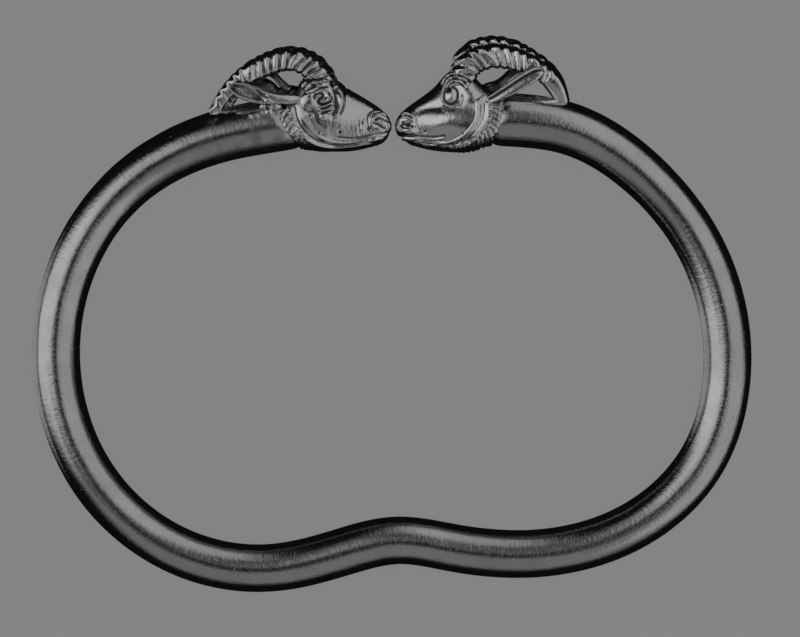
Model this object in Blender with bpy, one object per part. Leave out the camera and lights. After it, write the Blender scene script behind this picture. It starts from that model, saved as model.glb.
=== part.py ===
"""An open bracelet of solid silver: a kidney-shaped hoop whose two ends are the heads of horned wild goats.

The hoop lies flat on the XY plane, its underside on z = 0. The heads face each other across the opening.
"""

import math

import bmesh
import bpy
import numpy as np
from mathutils import Vector
from mathutils.bvhtree import BVHTree

# Driving sizes, in metres
HOOP_WIDTH = 0.0843  # outside, along X
HOOP_HEIGHT = 0.0586  # outside, along Y, without the horns
BAR_DIAMETER = 0.0057  # the round bar at the back, across the flats of its facets
NECK_DIAMETER = 0.0064  # the bar where a head joins it, in the same way
SWELL_LENGTH = 0.026  # the stretch over which the bar thickens towards a neck
HEAD_LENGTH = 0.0117  # from the throat to the tip of the nose
NOSE_GAP = 0.0003  # the opening between the two noses
SEAM_GAP = 0.0003  # between the bar's end and a head, and between a horn's tip and the bar
HORN_WIDTH = 0.0028  # of one horn near its root, across the head
EAR_THICKNESS = 0.0009
JAW_RIDGE = 0.0006  # across the raised cord along the jaw
BROW_RIDGE = 0.00038
RUFF_WIDTH = 0.0013
RUFF_PITCH = 0.00078  # from one tuft of the ruff to the next
HORN_PITCH = 0.00108  # from one ring of a horn to the next
MOUTH_WIDTH = 0.0003
NOSTRIL_WIDTH = 0.0005

# How finely the round shapes are cut into facets
BAR_SIDES = 16
BAR_STEPS = 44
HEAD_SIDES = 20
HEAD_STEPS = 17

# The bar's centre line, as shares of its own width and height, from the left neck round the back to the
# right neck. The first and last points are the seams, which the heads' own sizes place.
ROUTE = [
    (-0.266, 0.458),
    (-0.388, 0.362),
    (-0.476, 0.180),
    (-0.500, -0.080),
    (-0.436, -0.324),
    (-0.308, -0.470),
    (-0.184, -0.500),
    (-0.074, -0.464),
    (0.006, -0.438),
    (0.088, -0.455),
    (0.212, -0.468),
    (0.357, -0.407),
    (0.458, -0.266),
    (0.498, -0.049),
    (0.466, 0.189),
    (0.368, 0.383),
    (0.254, 0.482),
]

# Each head is drawn from the side, in hundredths of its length. Zero is the middle of the throat, the first
# number runs forward to the nose and the second upward. A rib joins a point on the top line to one on the
# bottom line, and its last number is the half depth of the head there. The seam is where the bar ends.
LEFT = {
    "name": "left_head",
    "facing": 1,
    "height": 0.4905,
    "seam": (-9, -0.7),
    "seam_slant": math.radians(27),
    "ribs": [
        (-9, 24, 14, -27, 25),
        (3, 33, 22, -28, 24.5),
        (12, 45, 30, -29, 24),
        (27, 48, 38, -29, 23.5),
        (43, 45, 48, -29, 22),
        (55, 36, 58, -28.5, 19.5),
        (68, 28, 68, -27, 17.5),
        (81, 20, 80, -24, 15.5),
        (91, 12.5, 91, -20, 13),
        (98, 4, 97, -12, 8),
        (99.8, -1, 99.6, -6, 3),
    ],
    # forward, up, side, half width
    "horn": [
        (31, 31, 9, 10),
        (24, 50, 12, 14),
        (12, 61, 13, 13.5),
        (-4, 64, 13, 13),
        (-22, 59.5, 12.5, 12.5),
        (-38, 52, 11.5, 11.5),
        (-52, 43, 10, 9.5),
        (-67, 28, 8.5, 7.5),
    ],
    "horn_tip": (-79, 6, 5),
    "far_rise": 2,
    "ear": [
        (8, 22, 18, 5),
        (-12, 23, 20.5, 5),
        (-30, 25, 22, 7),
        (-44, 29.5, 22, 9.5),
        (-53, 33, 21, 8),
        (-62, 36.5, 19, 2),
    ],
    "jaw": [(4, 20), (8, 6), (18, -10.5), (27, -18), (39, -22), (60, -22), (76, -18.5), (90, -15)],
    "ruff": [(-10, 14.6), (-2, -0.5), (5, -13.5), (11, -19), (20, -24), (34, -26), (50, -26.5)],
    "eye": (31, 24, 5, 4),
    "brows": [9, 13, 17],
    "brow_sweep": (math.radians(30), math.radians(215)),
    "mouth": [(45, -14), (60, -14), (80, -12.5), (96, -11)],
    "nostril": (90, -1, 6, 2.2),
}
RIGHT = {
    "name": "right_head",
    "facing": -1,
    "height": 0.501,
    "seam": (-5.5, -0.9),
    "seam_slant": math.radians(12),
    "ribs": [
        (-2, 26, 11, -29, 25),
        (9, 31, 20, -31, 24.5),
        (20, 42, 29, -33, 24),
        (33, 51, 38, -34, 23.5),
        (47, 46, 48, -34, 22),
        (59, 33, 58, -33, 19.5),
        (71, 23, 69, -31, 17.5),
        (83, 14.5, 80, -28, 15.5),
        (92.5, 6.7, 90, -23.5, 13),
        (98, -1, 96.5, -17.5, 8),
        (99.8, -7, 99.6, -12, 3),
    ],
    "horn": [
        (33, 30, 9, 10),
        (31, 44, 12, 14),
        (24, 54, 13, 14),
        (14, 59.5, 13, 13.5),
        (-4, 62, 13, 13),
        (-21, 58.5, 12.5, 12.5),
        (-36, 52.5, 11, 11),
        (-51, 43.5, 9.5, 9.5),
        (-63, 29, 8, 7.5),
    ],
    "horn_tip": (-70, 6, 6),
    "far_rise": 10,
    "ear": [
        (8, 17, 18, 5),
        (-3, 22, 20.5, 5),
        (-16, 29.5, 22, 7),
        (-30, 38, 22, 8.5),
        (-40, 43.5, 21, 7),
        (-49, 47, 19, 2),
    ],
    "jaw": [(15, 19), (16, 6.5), (24, -10.5), (34, -18), (48, -24), (64, -26), (80, -23)],
    "ruff": [(0, 14), (1, -0.5), (4, -12), (11, -19), (21, -24.5), (36, -28), (54, -29), (70, -27)],
    "eye": (44, 22, 3.6, 5.6),
    "brows": [9.4, 13.2, 17],
    "brow_sweep": (math.radians(-15), math.radians(140)),
    "mouth": [(51, -22.5), (62, -20), (75, -18.5), (94, -18)],
    "nostril": (91, -6, 4.5, 2.6),
}

# Free form of the carving, as shares of what carries it
HORN_VALLEY = 0.84  # a horn's width between two rings
TUFT_VALLEY = 0.6  # the ruff's height between two tufts
CORD_ROOT = 3.5  # how deep a raised cord reaches into the head, for each part that it stands out
HUNDREDTH = HEAD_LENGTH / 100

# The bar rests on one of its flat sides, whose middle is nearer its centre line than its corners are.
SIDE_FLAT = math.cos(math.pi / BAR_SIDES)
NECK_HALF = NECK_DIAMETER / 2
ROUTE_WIDE = HOOP_WIDTH - BAR_DIAMETER
ROUTE_HIGH = HOOP_HEIGHT - BAR_DIAMETER / 2 - NECK_DIAMETER / 2


def clear_scene():
    for obj in list(bpy.data.objects):
        bpy.data.objects.remove(obj, do_unlink=True)


def new_collection(name):
    collection = bpy.data.collections.new(name)
    bpy.context.scene.collection.children.link(collection)
    return collection


def silver(name, base, roughness):
    material = bpy.data.materials.new(name)
    material.use_nodes = True
    shader = material.node_tree.nodes["Principled BSDF"]
    shader.inputs["Base Color"].default_value = (base, base, base * 0.985, 1)
    shader.inputs["Metallic"].default_value = 1.0
    shader.inputs["Roughness"].default_value = roughness
    return material


def smooth(rows, count):
    """Rows read at even steps from a natural cubic spline through the given ones."""
    knots = np.array(rows, float)
    steps = np.linalg.norm(np.diff(knots, axis=0), axis=1)
    at = np.concatenate([[0], np.cumsum(steps)])
    slopes = np.diff(knots, axis=0) / steps[:, None]
    matrix = np.eye(len(knots))
    bends = np.zeros_like(knots)
    for i in range(1, len(knots) - 1):
        matrix[i, i - 1 : i + 2] = steps[i - 1], 2 * (steps[i - 1] + steps[i]), steps[i]
        bends[i] = 6 * (slopes[i] - slopes[i - 1])
    bends = np.linalg.solve(matrix, bends)
    places = np.linspace(0, at[-1], count)
    span = np.clip(np.searchsorted(at, places, side="right") - 1, 0, len(steps) - 1)
    width = steps[span][:, None]
    after = (places - at[span])[:, None] / width
    before = 1 - after
    line = before * knots[span] + after * knots[span + 1]
    bow = (before**3 - before) * bends[span] + (after**3 - after) * bends[span + 1]
    return line + bow * width**2 / 6


def length_of(rows):
    return float(np.linalg.norm(np.diff(np.array(rows, float)[:, :2], axis=0), axis=1).sum())


def loft(name, rings, collection):
    """A closed solid through the rings, each a loop of as many points as the others."""
    mesh = bpy.data.meshes.new(name)
    build = bmesh.new()
    loops = [[build.verts.new(point) for point in ring] for ring in rings]
    sides = len(loops[0])
    for near, far in zip(loops, loops[1:]):
        for i in range(sides):
            j = (i + 1) % sides
            build.faces.new((near[i], near[j], far[j], far[i]))
    build.faces.new(loops[0])
    build.faces.new(loops[-1])
    bmesh.ops.recalc_face_normals(build, faces=build.faces)
    build.to_mesh(mesh)
    build.free()
    obj = bpy.data.objects.new(name, mesh)
    collection.objects.link(obj)
    return obj


def sweep_rings(path, halves, section):
    """Rings square to a path of points. The section's pairs are shares of the half width and half depth."""
    rings = []
    for i, point in enumerate(path):
        ahead = path[min(i + 1, len(path) - 1)]
        behind = path[max(i - 1, 0)]
        along = (ahead - behind).normalized()
        across = Vector((0, 0, 1)).cross(along).normalized()
        out = along.cross(across)
        wide, deep = halves[i]
        rings.append([point + across * p * wide + out * q * deep for p, q in section])
    return rings


def ellipse(sides, turn=0.5):
    angles = [2 * math.pi * (i + turn) / sides for i in range(sides)]
    return [(math.cos(angle), math.sin(angle)) for angle in angles]


# The horn is keeled along its outer edge, and the ear is a leaf with a groove along its face.
HORN_EDGE = [(1, 0), (0.72, -0.8), (-0.1, -1), (-0.75, -0.72), (-1.08, 0)]
HORN_SECTION = HORN_EDGE + [(across, -out) for across, out in reversed(HORN_EDGE[1:-1])]
LEAF_SECTION = [(-1, 0.3), (-0.6, -0.9), (0.6, -0.9), (1, 0.3), (0.62, 1), (0, 0.1), (-0.62, 1)]


def route_middle():
    """How far the horns raise the middle of the whole bracelet above the middle of the bar's route."""
    horn_top = (max(up + half for _, up, _, half in RIGHT["horn"]) + RIGHT["far_rise"]) * HUNDREDTH
    top = RIGHT["height"] * ROUTE_HIGH + horn_top
    bottom = -ROUTE_HIGH / 2 - BAR_DIAMETER / 2
    return (top + bottom) / 2


def throat(head):
    """The zero point of a head's side view, in metres."""
    x = -head["facing"] * (HEAD_LENGTH + NOSE_GAP / 2)
    return Vector((x, head["height"] * ROUTE_HIGH - route_middle(), NECK_HALF))


def seam_place(head):
    """The middle of the seam, in metres."""
    forward, up = head["seam"]
    return throat(head) + Vector((head["facing"] * forward, up, 0)) * HUNDREDTH


def bar_route():
    """The bar's centre line from seam to seam, with half its thickness at each step: x, y, z, half."""
    shift = route_middle()
    start = seam_place(LEFT)
    end = seam_place(RIGHT)
    inner = [(x * ROUTE_WIDE, y * ROUTE_HIGH - shift) for x, y in ROUTE]
    points = smooth([start[:2], *inner, end[:2]], BAR_STEPS + 1)
    travelled = np.concatenate([[0], np.cumsum(np.linalg.norm(np.diff(points, axis=0), axis=1))])
    to_end = np.minimum(travelled, travelled[-1] - travelled)
    share = np.clip(to_end / SWELL_LENGTH, 0, 1)
    ease = share * share * (3 - 2 * share)
    half = NECK_DIAMETER / 2 + (BAR_DIAMETER - NECK_DIAMETER) / 2 * ease
    return np.column_stack([points, half, half])


def bar_solid(name, rows, extra, cuts, collection):
    """A solid bar along the rows, this much thicker, cut off at each plane of a point and a normal."""
    curve = bpy.data.curves.new(name, "CURVE")
    curve.dimensions = "3D"
    curve.twist_mode = "Z_UP"
    curve.bevel_depth = 1.0
    curve.bevel_resolution = (BAR_SIDES - 4) // 2
    curve.use_fill_caps = True
    line = curve.splines.new("POLY")
    line.points.add(len(rows) - 1)
    for point, (x, y, z, half) in zip(line.points, rows):
        point.co = (x, y, z, 1)
        point.radius = (half + extra) / SIDE_FLAT
        point.tilt = math.pi / BAR_SIDES
    drawn = bpy.data.objects.new(name + "_line", curve)
    collection.objects.link(drawn)
    mesh = bpy.data.meshes.new_from_object(drawn.evaluated_get(bpy.context.evaluated_depsgraph_get()))
    bpy.data.objects.remove(drawn, do_unlink=True)
    build = bmesh.new()
    build.from_mesh(mesh)
    bmesh.ops.remove_doubles(build, verts=build.verts, dist=BAR_DIAMETER / 1000)
    for place, normal in cuts:
        near = [item for item in [*build.verts, *build.edges, *build.faces] if is_near(item, place)]
        cut = bmesh.ops.bisect_plane(build, geom=near, plane_co=place, plane_no=normal, clear_outer=True)
        rim = [item for item in cut["geom_cut"] if isinstance(item, bmesh.types.BMEdge)]
        bmesh.ops.contextual_create(build, geom=rim)
    bmesh.ops.recalc_face_normals(build, faces=build.faces)
    mesh.clear_geometry()
    build.to_mesh(mesh)
    build.free()
    mesh.name = name
    bar = bpy.data.objects.new(name, mesh)
    collection.objects.link(bar)
    return bar


def overrun(rows):
    """One more row, a little beyond the last."""
    step = rows[-1] - rows[-2]
    return rows[-1] + step / np.linalg.norm(step[:2]) * NECK_DIAMETER


def make_hoop(collection, material):
    """The bar, swept past each seam and cut there along the seam's slant."""
    route = bar_route()
    rows = [overrun(route[::-1]), *route, overrun(route)]
    cuts = []
    for head in (LEFT, RIGHT):
        normal = seam_normal(head)
        cuts.append((seam_place(head) - normal * SEAM_GAP / 2, normal))
    hoop = bar_solid("hoop", rows, 0, cuts, collection)
    hoop.data.materials.clear()
    hoop.data.materials.append(material)
    hoop.data.shade_smooth()
    return hoop


def make_clearance(head, tools):
    """The room that a head leaves for the bar behind the seam."""
    route = bar_route()
    arm = route if head["facing"] > 0 else route[::-1]
    arm = arm[: BAR_STEPS // 4]
    rows = [overrun(arm[::-1]), *arm]
    room = bar_solid(head["name"] + "_room", rows, SEAM_GAP, [(seam_place(head), seam_normal(head))], tools)
    room.hide_render = True
    room.display_type = "WIRE"
    return room


def is_near(item, place):
    """Whether a vertex, edge or face belongs to the arm of the bar that ends at this place."""
    corners = [item] if isinstance(item, bmesh.types.BMVert) else item.verts
    return all((corner.co - place).length < HEAD_LENGTH for corner in corners)


def seam_normal(head):
    """The direction from the bar into the head, square to the slanted seam."""
    slant = head["seam_slant"] + math.atan2(*reversed(neck_slope(head)))
    return Vector((head["facing"] * math.cos(slant), math.sin(slant), 0))


def neck_slope(head):
    """How the bar runs at the seam: forward and upward."""
    route = bar_route()
    ends = (route[0], route[1]) if head["facing"] > 0 else (route[-1], route[-2])
    step = ends[0] - ends[1]
    return abs(float(step[0])), float(step[1])


def combine(target, tool, operation):
    """Joins or cuts with a closed tool. The exact solver drops a head where its fine cords cross."""
    modifier = target.modifiers.new(tool.name, "BOOLEAN")
    modifier.operation = operation
    modifier.solver = "MANIFOLD"
    modifier.object = tool


def make_head(head, collection, tools, material):
    """The core of the head, then its horns, ears and carving joined to it."""
    turn = head["facing"]
    zero = throat(head)

    def place(point):
        return zero + Vector((turn * point.x, point.y, point.z)) * HUNDREDTH

    def placed(rings):
        return [[place(point) for point in ring] for ring in rings]

    normal = seam_normal(head)
    rib = Vector((-normal.y, turn * normal.x, 0))
    back = Vector((*head["seam"], 0)) + Vector((turn * normal.x, normal.y, 0)) * (SEAM_GAP / 2 / HUNDREDTH)
    reach = NECK_DIAMETER / 2 / math.cos(head["seam_slant"]) / HUNDREDTH
    first = (*(back + rib * reach)[:2], *(back - rib * reach)[:2], NECK_HALF / HUNDREDTH)
    rings = []
    for top_f, top_u, low_f, low_u, half in smooth([first, *head["ribs"]], HEAD_STEPS + 1):
        middle = Vector(((top_f + low_f) / 2, (top_u + low_u) / 2, 0))
        rise = Vector(((top_f - low_f) / 2, (top_u - low_u) / 2, 0))
        side = Vector((0, 0, half))
        rings.append([middle + rise * p + side * q for p, q in ellipse(HEAD_SIDES, 0)])
    core = loft(head["name"], placed(rings), collection)
    core.data.materials.append(material)

    local = loft(head["name"] + "_guide", rings, tools)
    probe = bmesh.new()
    probe.from_mesh(local.data)
    skin = BVHTree.FromBMesh(probe)
    probe.free()
    bpy.data.objects.remove(local, do_unlink=True)

    def on_skin(forward, up):
        """The half depth of the head at a point of its side view."""
        hit = skin.ray_cast(Vector((forward, up, HEAD_LENGTH / HUNDREDTH)), Vector((0, 0, -1)))[0]
        return hit.z if hit else 0.0

    def add_one(name, rings, operation="UNION"):
        tool = loft(f"{head['name']}_{name}", placed(rings), tools)
        tool.hide_render = True
        tool.display_type = "WIRE"
        combine(core, tool, operation)

    def add(name, rings, operation="UNION"):
        """Joins one shape to each side of the head, or cuts it out of both."""
        add_one(name + "_near", rings, operation)
        add_one(name + "_far", [[Vector((p.x, p.y, -p.z)) for p in ring] for ring in rings], operation)

    def cord(name, points, width, pitch=0, proud=0.2, valley=1.0, sides=5, operation="UNION"):
        """A cord laid along the skin, smooth or in tufts, rooted in it, or a groove cut along it."""
        root = CORD_ROOT if operation == "UNION" else 1.0
        section = [(across, out if out > 0 else out * root) for across, out in ellipse(sides)]
        length = length_of(points) * HUNDREDTH
        count = 2 * max(2, round(length / pitch)) + 1 if pitch else len(points) + 2
        wide = width / 2 / HUNDREDTH
        deepest = NECK_HALF / HUNDREDTH
        path = []
        halves = []
        for i, (forward, up) in enumerate(smooth(points, count)):
            tall = wide * (valley if i % 2 == 0 else 1.0)
            lift = min(on_skin(forward, up) + wide * proud, deepest - tall)
            path.append(Vector((forward, up, lift)))
            halves.append((wide * (1 + valley) / 2 if i % 2 == 0 else wide, tall))
        add(name, sweep_rings(path, halves, section), operation)

    for word, mirror, rise in (("near", 1, 0), ("far", -1, head["far_rise"])):
        rows = horn_rows(head, zero)
        count = 2 * round(length_of(rows) * HUNDREDTH / HORN_PITCH) + 1
        thin = HORN_WIDTH / 2 / HUNDREDTH / rows[1][3]
        path = []
        halves = []
        for i, (forward, up, side, half) in enumerate(smooth(rows, count)):
            share = HORN_VALLEY if i % 2 == 0 else 1.0
            rolled = rise * (1 - (i / (count - 1)) ** 3)
            path.append(Vector((forward, up + rolled, side * mirror)))
            halves.append((half * share, half * thin * share))
        add_one("horn_" + word, sweep_rings(path, halves, HORN_SECTION))

    path = []
    halves = []
    for forward, up, side, half in smooth(head["ear"], 8):
        path.append(Vector((forward, up, side)))
        halves.append((half, EAR_THICKNESS / 2 / HUNDREDTH * min(1, half / 4)))
    add("ear", sweep_rings(path, halves, LEAF_SECTION))

    cord("jaw_ridge", head["jaw"], JAW_RIDGE)
    cord("ruff", head["ruff"], RUFF_WIDTH, pitch=RUFF_PITCH, proud=-0.45, valley=TUFT_VALLEY)
    eye_f, eye_u, eye_wide, eye_high = head["eye"]
    low, high = head["brow_sweep"]
    for number, radius in enumerate(head["brows"]):
        angles = np.linspace(low, high, 5)
        arc = [(eye_f + radius * math.cos(a), eye_u + radius * math.sin(a)) for a in angles]
        cord(f"brow_{number + 1}", arc, BROW_RIDGE, proud=-0.1, sides=4)
    eyeball = []
    for angle in np.linspace(math.radians(12), math.radians(168), 5):
        level = on_skin(eye_f, eye_u) - 1.5 - 2.5 * math.cos(angle)
        wide = eye_wide * math.sin(angle)
        high = eye_high * math.sin(angle)
        eyeball.append([Vector((eye_f + wide * p, eye_u + high * q, level)) for p, q in ellipse(8)])
    add("eye", eyeball)
    cord("mouth", head["mouth"], MOUTH_WIDTH, proud=0.0, sides=4, operation="DIFFERENCE")
    pit_f, pit_u, pit_wide, pit_high = head["nostril"]
    slit = [(pit_f - pit_wide, pit_u + pit_high), (pit_f, pit_u), (pit_f + pit_wide * 0.7, pit_u - pit_high)]
    cord("nostril", slit, NOSTRIL_WIDTH, proud=0.1, sides=6, operation="DIFFERENCE")
    combine(core, make_clearance(head, tools), "DIFFERENCE")
    return core


def horn_rows(head, zero):
    """The horn's line down to its tip on the bar's upper edge, where the room for the bar trims it."""
    tip_f, side, half = head["horn_tip"]
    x = zero.x + head["facing"] * tip_f * HUNDREDTH
    route = bar_route()
    arm = route[: BAR_STEPS // 5] if head["facing"] > 0 else route[-BAR_STEPS // 5 :]
    arm = arm[np.argsort(arm[:, 0])]
    middle = np.interp(x, arm[:, 0], arm[:, 1])
    half_bar = np.interp(x, arm[:, 0], arm[:, 3])
    slope = np.gradient(arm[:, 1], arm[:, 0])
    lean = math.hypot(1, np.interp(x, arm[:, 0], slope))
    up = (middle + half_bar * lean - zero.y) / HUNDREDTH
    return [*head["horn"], (tip_f, up, side, half)]


def main():
    clear_scene()
    bracelet = new_collection("goat_head_bracelet")
    tools = new_collection("carving_tools")
    make_hoop(bracelet, silver("hoop_silver", 0.62, 0.30))
    for head, base in ((LEFT, 0.60), (RIGHT, 0.58)):
        make_head(head, bracelet, tools, silver(head["name"] + "_silver", base, 0.34))


main()
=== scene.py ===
"""The looks of the goat-head bracelet: hammered silver hoop and two chased heads, on a pale floor."""

import math

import bmesh
import bpy
import numpy as np
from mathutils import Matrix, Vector, kdtree, noise
from mathutils.bvhtree import BVHTree


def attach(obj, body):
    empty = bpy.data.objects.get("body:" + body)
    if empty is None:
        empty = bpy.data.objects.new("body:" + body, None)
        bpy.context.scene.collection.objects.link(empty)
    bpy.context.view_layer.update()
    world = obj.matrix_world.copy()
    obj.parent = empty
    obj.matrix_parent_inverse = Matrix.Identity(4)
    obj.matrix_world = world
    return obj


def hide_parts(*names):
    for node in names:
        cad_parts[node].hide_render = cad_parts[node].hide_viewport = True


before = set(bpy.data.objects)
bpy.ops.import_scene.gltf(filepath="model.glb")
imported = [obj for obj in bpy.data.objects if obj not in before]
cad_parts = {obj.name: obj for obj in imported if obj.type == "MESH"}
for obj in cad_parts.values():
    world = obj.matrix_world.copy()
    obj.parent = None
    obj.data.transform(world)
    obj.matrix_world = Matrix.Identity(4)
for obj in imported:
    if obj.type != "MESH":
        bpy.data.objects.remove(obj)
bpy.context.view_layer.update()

# Real sizes, in metres. They are the solids' own, apart from the ears, which are a little thicker here.
HOOP_WIDTH = 0.0843  # outside, along X
HOOP_HEIGHT = 0.0586  # outside, along Y, without the horns
BAR_DIAMETER = 0.0057  # the round bar at the back
NECK_DIAMETER = 0.0064  # the bar where a head joins it
SWELL_LENGTH = 0.026  # the stretch over which the bar thickens towards a neck
HEAD_LENGTH = 0.0117  # from the throat to the tip of the nose
NOSE_GAP = 0.0003  # the opening between the two noses
HORN_WIDTH = 0.0028  # of one horn near its root, across the head
HORN_PITCH = 0.00108  # from one ridge of a horn to the next
EAR_THICKNESS = 0.0011
HUNDREDTH = HEAD_LENGTH / 100
ROUTE_WIDE = HOOP_WIDTH - BAR_DIAMETER
ROUTE_HIGH = HOOP_HEIGHT - BAR_DIAMETER / 2 - NECK_DIAMETER / 2

# The bar's centre line, as shares of its width and height, from the left neck to the right one
ROUTE = [
    (-0.266, 0.458),
    (-0.388, 0.362),
    (-0.476, 0.180),
    (-0.500, -0.080),
    (-0.436, -0.324),
    (-0.308, -0.470),
    (-0.184, -0.500),
    (-0.074, -0.464),
    (0.006, -0.438),
    (0.088, -0.455),
    (0.212, -0.468),
    (0.357, -0.407),
    (0.458, -0.266),
    (0.498, -0.049),
    (0.466, 0.189),
    (0.368, 0.383),
    (0.254, 0.482),
]

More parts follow.
